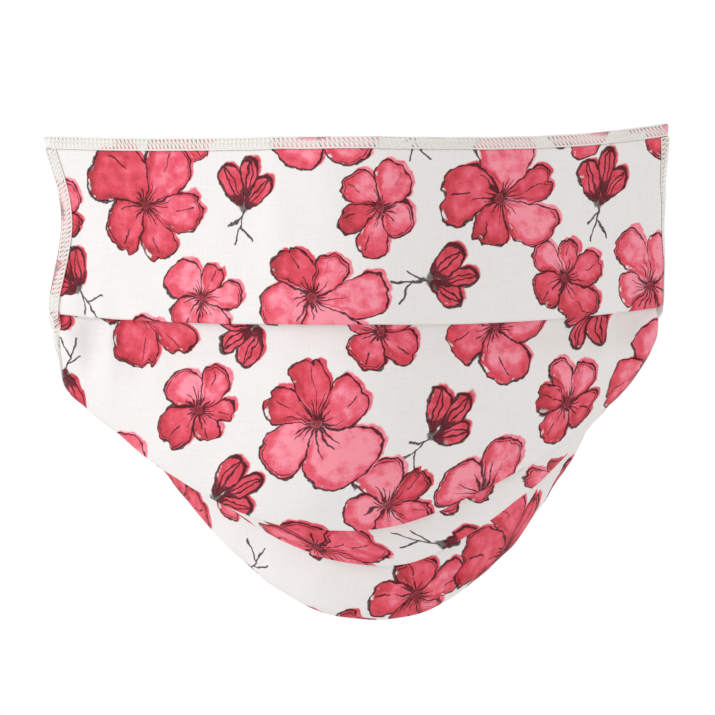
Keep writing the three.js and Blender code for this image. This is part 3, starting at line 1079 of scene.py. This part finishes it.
def stitch_tree(name):
    """A tree that lays overlock stitches along a guide line."""
    tree = bpy.data.node_groups.new(name, "GeometryNodeTree")
    names = tree_inputs(tree, (
        ("Guide", "NodeSocketGeometry", None),
        ("Pitch", "NodeSocketFloat", 0.0013),
        ("Reach", "NodeSocketFloat", 0.0031),
        ("Lean", "NodeSocketFloat", 0.0010),
        ("Bulge", "NodeSocketFloat", 0.00005),
        ("Thread radius", "NodeSocketFloat", 0.00025),
        ("Flatness", "NodeSocketFloat", 0.28),
        ("Thread", "NodeSocketMaterial", None),
    ))
    tree.interface.new_socket(name="Stitches", in_out="OUTPUT", socket_type="NodeSocketGeometry")
    nodes, links = tree.nodes, tree.links
    given = {socket.name: Wire(tree, socket) for socket in nodes.new("NodeGroupInput").outputs}
    pitch, reach, slope, bulge = (given[key] for key in ("Pitch", "Reach", "Lean", "Bulge"))

    def add(kind, inputs, settings=None):
        return pitch.node(kind, settings or {}, inputs)

    def strand(start, middle, end, steps):
        """A bowed tube of thread from start to end, which are numbers or wires."""
        start, middle, end = (point(pitch, *place) for place in (start, middle, end))
        ends = {"Resolution": steps, "Start": start, "Middle": middle, "End": end}
        bow = add("GeometryNodeCurveQuadraticBezier", ends)
        ring_size = {"Resolution": 5, "Radius": given["Thread radius"]}
        ring = add("GeometryNodeCurvePrimitiveCircle", ring_size)
        lines = {"Curve": bow, "Profile Curve": ring, "Fill Caps": True}
        return add("GeometryNodeCurveToMesh", lines)

    sunk, bowed = bulge * -0.6, bulge * 2.0
    low, high = (0.0, 0.0, sunk), (slope * -1.0, reach, sunk)
    stitch = nodes.new("GeometryNodeJoinGeometry")
    for part in (
        strand(low, (slope * -0.5, reach * 0.5, bowed), high, 5),
        strand(high, (pitch * 0.3, reach * 0.45, bulge), (pitch, 0.0, sunk), 5),
        strand(low, (pitch * 0.45, 0.0, bowed), (pitch * 0.9, 0.0, sunk), 3),
        strand(high, (slope * -1.0, reach * 1.06, bulge), (slope * 0.2, reach, sunk), 3),
    ):
        links.new(part.socket, stitch.inputs[0])

    guide = add("GeometryNodeMeshToCurve", {"Mesh": given["Guide"]})
    even = add("GeometryNodeResampleCurve", {"Curve": guide, "Length": pitch}, {"mode": "LENGTH"})
    vector = {"data_type": "FLOAT_VECTOR"}
    face = add("GeometryNodeInputNamedAttribute", {"Name": "lift"}, vector)
    along = add("GeometryNodeInputTangent", {})
    axes = {"primary_axis": "Z", "secondary_axis": "X"}
    stand = add("FunctionNodeAxesToRotation", {"Primary Axis": face, "Secondary Axis": along}, axes)
    laid = add("GeometryNodeInstanceOnPoints", {
        "Points": even, "Instance": Wire(tree, stitch.outputs[0]), "Rotation": stand,
        "Scale": point(pitch, 1.0, 1.0, given["Flatness"]),
    })
    real = add("GeometryNodeRealizeInstances", {"Geometry": laid})
    done = add("GeometryNodeSetMaterial", {"Geometry": real, "Material": given["Thread"]})
    links.new(done.socket, nodes.new("NodeGroupOutput").inputs[0])
    return tree, names


overlock, overlock_names = stitch_tree("overlock stitch")


# %% Thread material
def make_thread(name):
    """Spun polyester thread: off-white, with the twist of its plies."""
    material, shader, start = new_material(name, 0.2)
    place = start.node("ShaderNodeTexCoord", {}, {}, "Object")
    twist = {"Vector": place, "Scale": 900.0, "Distortion": 1.0}
    plies = place.node("ShaderNodeTexWave", {"bands_direction": "DIAGONAL"}, twist)
    fibres = cloud(place, 3000.0)
    tone = plies * 0.12 + fibres * 0.1 - 0.05
    stops = ((0.0, rgb(241, 237, 232)), (0.3, rgb(249, 246, 241)))
    connect(ramp(tone, stops), shader, "Base Color")
    connect(fibres * 0.2 + 0.65, shader, "Roughness")
    press(plies, shader, 0.4, 0.00005)
    return material


white_thread = make_thread("white thread")


# %% Threads on the hems
def guide_line(name, u, s, depth, outer):
    """A line of points on the cloth, with the direction that stands up from it there."""
    places = form.at(u, s, depth)
    ahead = form.read(form.inward, u, s) * (-1 if outer else 1)
    mesh = bpy.data.meshes.new(name)
    steps = [(k, k + 1) for k in range(len(places) - 1)]
    mesh.from_pydata((places * MM).tolist(), steps, [])
    lift = mesh.attributes.new("lift", "FLOAT_VECTOR", "POINT")
    lift.data.foreach_set("vector", ahead.astype(np.float32).ravel())
    return put(name, mesh)


def sew(name, guide, values):
    """Runs the stitch tree on a guide and keeps its result as a plain mesh."""
    modifier = guide.modifiers.new("stitches", "NODES")
    modifier.node_group = overlock
    for key, value in {"Thread": white_thread, **values}.items():
        modifier[overlock_names[key]] = value
    graph = bpy.context.evaluated_depsgraph_get()
    made = guide.evaluated_get(graph)
    mesh = bpy.data.meshes.new_from_object(made, preserve_all_data_layers=True, depsgraph=graph)
    old = guide.data
    guide.modifiers.remove(modifier)
    guide.data = mesh
    guide.name = mesh.name = name
    bpy.data.meshes.remove(old)
    mesh.polygons.foreach_set("use_smooth", [True] * len(mesh.polygons))
    print(name, len(mesh.polygons), "faces")
    return guide


NEEDLE_LINE = 3.15               # from the hem's edge to the row of needle stitches
CORNER_FREE = 2.0                # the threads end this far from the mask's rounded corners
SIDE_FREE = 0.4                  # and this far from a side hem's ends


def thread_lines():
    """The four guides: name, columns, steps down, front depth, back depth."""
    last = 1 - CORNER_FREE / HALF_WIDTH
    across = np.linspace(-last, last, 400)
    top = np.full(across.shape, NEEDLE_LINE)
    low = form.length(across) - NEEDLE_LINE
    inside = 1 - NEEDLE_LINE / HALF_WIDTH
    near, far = np.full(across.shape, -HEM_PROUD), np.full(across.shape, HEM_BACK)
    found = [
        ("top_hem_thread", across, top, near, far),
        ("bottom_hem_thread", across[::-1], low[::-1], near, far),
    ]
    for name, side in (("left_hem_thread", -1), ("right_hem_thread", 1)):
        column = np.full(300, side * inside)
        span = form.length(column)[0] - 2 * HEM_WIDTH
        share = np.linspace(SIDE_FREE, span - SIDE_FREE, 300) / span
        if side < 0:
            share = share[::-1]
        found.append((name, column, HEM_WIDTH + share * span, *side_faces(side, share)))
    return found


threads = []
for name, columns, s, near, far in thread_lines():
    values = {"Reach": (NEEDLE_LINE - 0.25) * MM}
    threads.append(sew(name, guide_line(name, columns, s, near, True), values))
    inner = name + "_inside"
    guide = guide_line(inner, columns[::-1], s[::-1], far[::-1], False)
    threads.append(sew(inner, guide, values))


# %% Bar tacks
# row of the tack across the hem, as u, for the two rows at each end of a loop
TACK_ROWS = (0.950, 0.974)
TACK_HALF = 2.1                  # half a tack's length
TACK = {"Pitch": 0.6 * MM, "Reach": 1.5 * MM, "Lean": 0.5 * MM, "Thread radius": 0.17 * MM}


def bar_tacks(name, side):
    """Short dense rows that hold the two ends of an elastic on a side hem."""
    low = form.length(np.array([float(side)]))[0] - BOTTOM_SEWN
    for end, s_middle in (("top", TOP_SEWN), ("bottom", low)):
        for number, w in enumerate(TACK_ROWS):
            s = side * np.linspace(-TACK_HALF, TACK_HALF, 24) + s_middle
            u = np.full(s.shape, side * w)
            depth = seat_depth(side, s_middle) + ELASTIC_THICKNESS / 2 + 0 * s
            label = f"{name}_{end}_tack_{number + 1}"
            threads.append(sew(label, guide_line(label, u, s, depth, False), TACK))


bar_tacks("left", -1)
bar_tacks("right", 1)


# %% [markdown]
# ## Elastic
# Flat knitted elastic is a row of rubber cores under a knitted cover. The ribs are in the
# mesh. The knit's small chevrons are a bump that follows the band, and the grooves between
# the ribs get a little painted shade, a darker grey in the colour.

# %% Elastic material
def make_elastic(name):
    material, shader, start = new_material(name, 0.15)
    band = on_piece(start)
    across, along, _ = parts_of(band)
    rib_height_and_shade = abs((across * (math.pi * ELASTIC_RIBS / ELASTIC_WIDTH)).math("COSINE"))
    knit = (along * (TURN / 0.8) + abs(across.math("SINE")) * 3.0).math("SINE")
    dust = cloud(band, 0.6, 3.0)
    # painted shade: the grooves between the ribs are coloured darker, towards the grey stop
    tone = rib_height_and_shade * 0.5 + knit * 0.12 + dust * 0.4
    stops = ((0.0, rgb(214, 209, 203)), (1.0, rgb(250, 248, 245)))
    connect(ramp(tone, stops), shader, "Base Color")
    connect(dust * 0.2 + 0.7, shader, "Roughness")
    press(knit * 0.5 + rib_height_and_shade, shader, 0.5, 0.0001)
    return material


knitted_elastic = make_elastic("knitted elastic")

# %% [markdown]
# ## Floor
# Nothing holds the mask up in the picture, and nothing stands under it. A pale floor lies
# well below, so that views from above have something plain to look at.

# %% Floor
FLOOR_HEIGHT = -0.34
FLOOR_REACH = 1.5
corners = ((-1, -1), (1, -1), (1, 1), (-1, 1))
floor_corners = [(x * FLOOR_REACH, y * FLOOR_REACH, FLOOR_HEIGHT) for x, y in corners]
floor_mesh = bpy.data.meshes.new("floor")
floor_mesh.from_pydata(floor_corners, [], [(0, 1, 2, 3)])
floor = put("floor", floor_mesh)
floor_material, floor_shader, _ = new_material("pale floor")
floor_shader.inputs["Base Color"].default_value = (0.9, 0.9, 0.9, 1)
floor_shader.inputs["Roughness"].default_value = 0.9
floor_mesh.materials.append(floor_material)

# %% [markdown]
# ## Materials and places
# Each piece gets its material and rides on the root body, and the imported solid that it
# stands for is hidden. The threads ride on the root body too.

# %% Pieces and solids
pleated_cloth.data.materials.append(printed_cotton)
for piece in hems:
    piece.data.materials.append(hem_cotton)
for piece in (left_loop, right_loop):
    piece.data.materials.append(knitted_elastic)

REPLACED = (
    (pleated_cloth, "pleated_cloth", "printed_cotton"), (top_hem, "top_hem", "hem_cotton"),
    (bottom_hem, "bottom_hem", "hem_cotton"), (left_hem, "side_hem_left", "hem_cotton"),
    (right_hem, "side_hem_right", "hem_cotton"), (left_loop, "ear_loop_left", "elastic"),
    (right_loop, "ear_loop_right", "elastic"),
)
for piece, node, slot in REPLACED:
    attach(piece, "root")
    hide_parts(node)
for piece in threads:
    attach(piece, "root")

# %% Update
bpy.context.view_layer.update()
